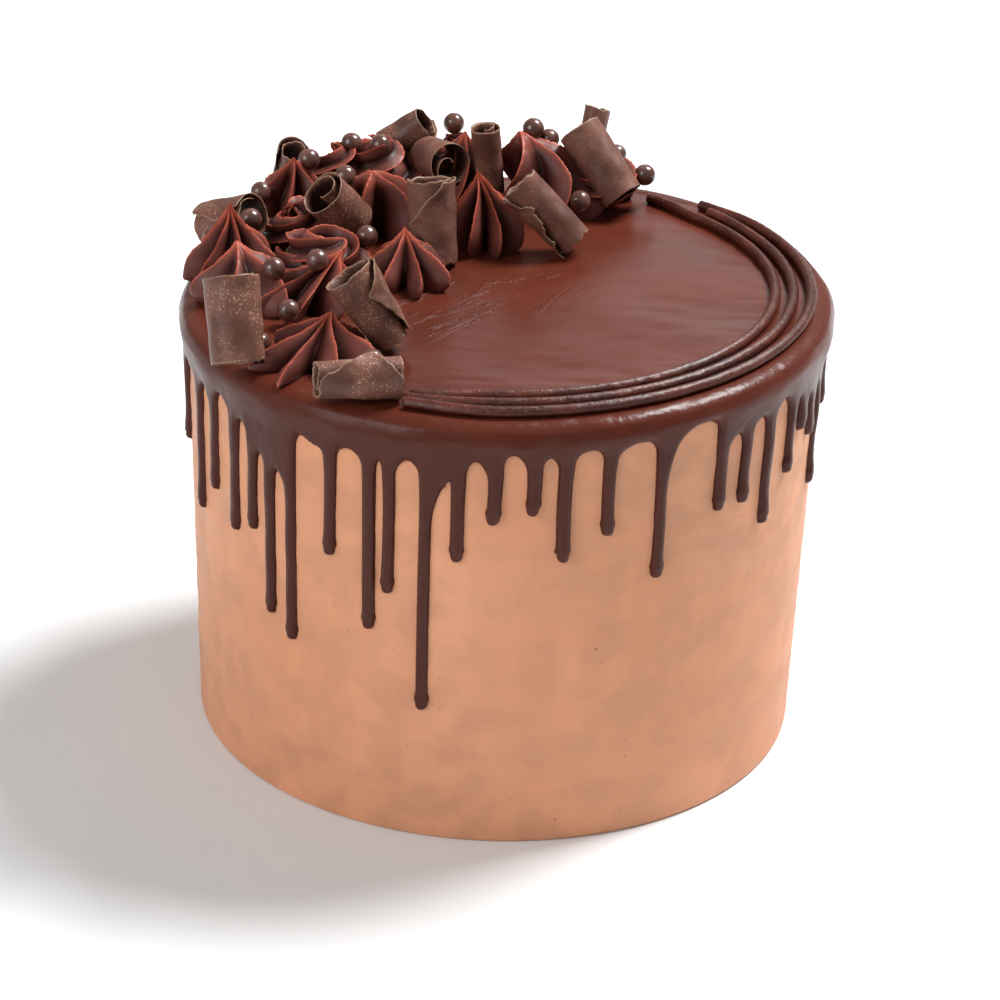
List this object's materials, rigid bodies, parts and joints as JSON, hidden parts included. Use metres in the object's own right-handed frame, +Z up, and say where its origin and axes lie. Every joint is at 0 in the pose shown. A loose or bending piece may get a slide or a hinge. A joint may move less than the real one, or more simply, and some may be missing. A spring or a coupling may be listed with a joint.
{
  "type": "chocolate layer cake",
  "caption": "Tall round chocolate cake in buttercream, with a ganache drip, a crescent of piped rosettes, chocolate curls and pearls, and piped lines round the rim.",
  "frame": {"origin": "middle of the flat base, on the surface the cake stands on", "axes": "+Z up, -Y towards the front as shown, +X to the right; the crescent of toppings lies over -X and +Y"},
  "size_m": [0.169, 0.169, 0.145],
  "materials": {
    "buttercream": "smooth satin buttercream with faint smoothing marks",
    "ganache": "glossy set ganache",
    "piped_cream": "satin piped chocolate cream",
    "curl_chocolate": "satin chocolate with rough pale edges and scuffs",
    "pearl_chocolate": "polished chocolate"
  },
  "bodies": {
    "root": {"frosted_cake": "buttercream", "ganache_drip": "ganache", "piped_line_inner": "piped_cream", "piped_line_middle": "piped_cream", "piped_line_outer": "piped_cream", "curl_01": "curl_chocolate", "curl_02": "curl_chocolate", "curl_03": "curl_chocolate", "curl_04": "curl_chocolate", "curl_05": "curl_chocolate", "curl_06": "curl_chocolate", "curl_07": "curl_chocolate", "curl_08": "curl_chocolate", "curl_09": "curl_chocolate", "curl_10": "curl_chocolate", "curl_11": "curl_chocolate", "curl_12": "curl_chocolate", "curl_13": "curl_chocolate", "pearl_01": "pearl_chocolate", "pearl_02": "pearl_chocolate", "pearl_03": "pearl_chocolate", "pearl_04": "pearl_chocolate", "pearl_05": "pearl_chocolate", "pearl_06": "pearl_chocolate", "pearl_07": "pearl_chocolate", "pearl_08": "pearl_chocolate", "pearl_09": "pearl_chocolate", "pearl_10": "pearl_chocolate", "pearl_11": "pearl_chocolate", "pearl_12": "pearl_chocolate", "pearl_13": "pearl_chocolate", "pearl_14": "pearl_chocolate", "pearl_15": "pearl_chocolate", "pearl_16": "pearl_chocolate", "pearl_17": "pearl_chocolate", "pearl_18": "pearl_chocolate", "pearl_19": "pearl_chocolate", "rosette_01": "piped_cream", "rosette_02": "piped_cream", "rosette_03": "piped_cream", "rosette_04": "piped_cream", "rosette_05": "piped_cream", "rosette_06": "piped_cream", "rosette_07": "piped_cream", "rosette_08": "piped_cream", "rosette_09": "piped_cream", "rosette_10": "piped_cream", "rosette_11": "piped_cream", "rosette_12": "piped_cream", "rosette_13": "piped_cream", "rosette_14": "piped_cream", "rosette_15": "piped_cream", "rosette_16": "piped_cream"}
  },
  "joints": []
}
